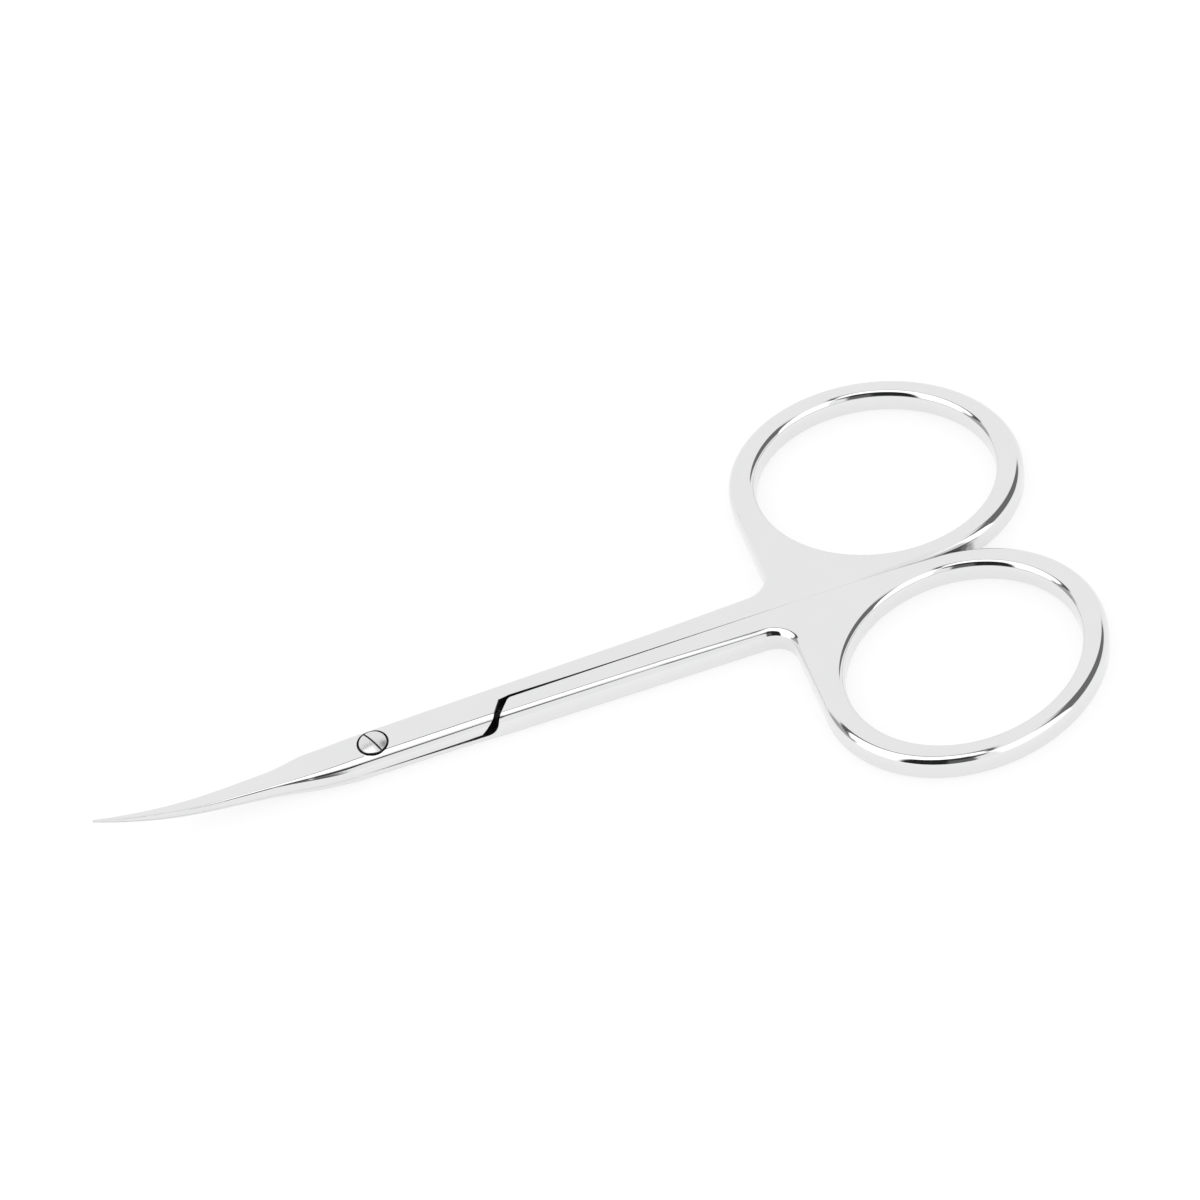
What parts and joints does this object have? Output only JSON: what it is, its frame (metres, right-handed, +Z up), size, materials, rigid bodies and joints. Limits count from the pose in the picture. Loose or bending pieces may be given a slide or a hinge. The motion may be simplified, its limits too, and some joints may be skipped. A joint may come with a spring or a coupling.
{
  "type": "cuticle scissors",
  "caption": "Cuticle scissors with slim upward-curving blades, oval finger rings and a slotted screw at the lap joint that the halves turn on.",
  "frame": {"origin": "pivot axis at the underside that the closed scissors lie on", "axes": "+X along the seam towards the finger rings, tips towards -X; +Z up along the pivot axis towards the screw's head, tips curving up; +Y towards the upper half's ring"},
  "size_m": [0.0922, 0.048, 0.0047],
  "materials": {
    "polished_steel": "finely polished stainless steel",
    "screw_steel": "turned and polished stainless steel"
  },
  "bodies": {
    "fixed_half": {"lower_half": "polished_steel", "pivot_screw": "screw_steel"},
    "moving_half": {"upper_half": "polished_steel"}
  },
  "joints": [
    {"name": "pivot", "type": "hinge", "parent": "fixed_half", "child": "moving_half", "pos_m": [0, 0, 0], "axis": [0, 0, 1], "range_deg": [0, 65]}
  ]
}
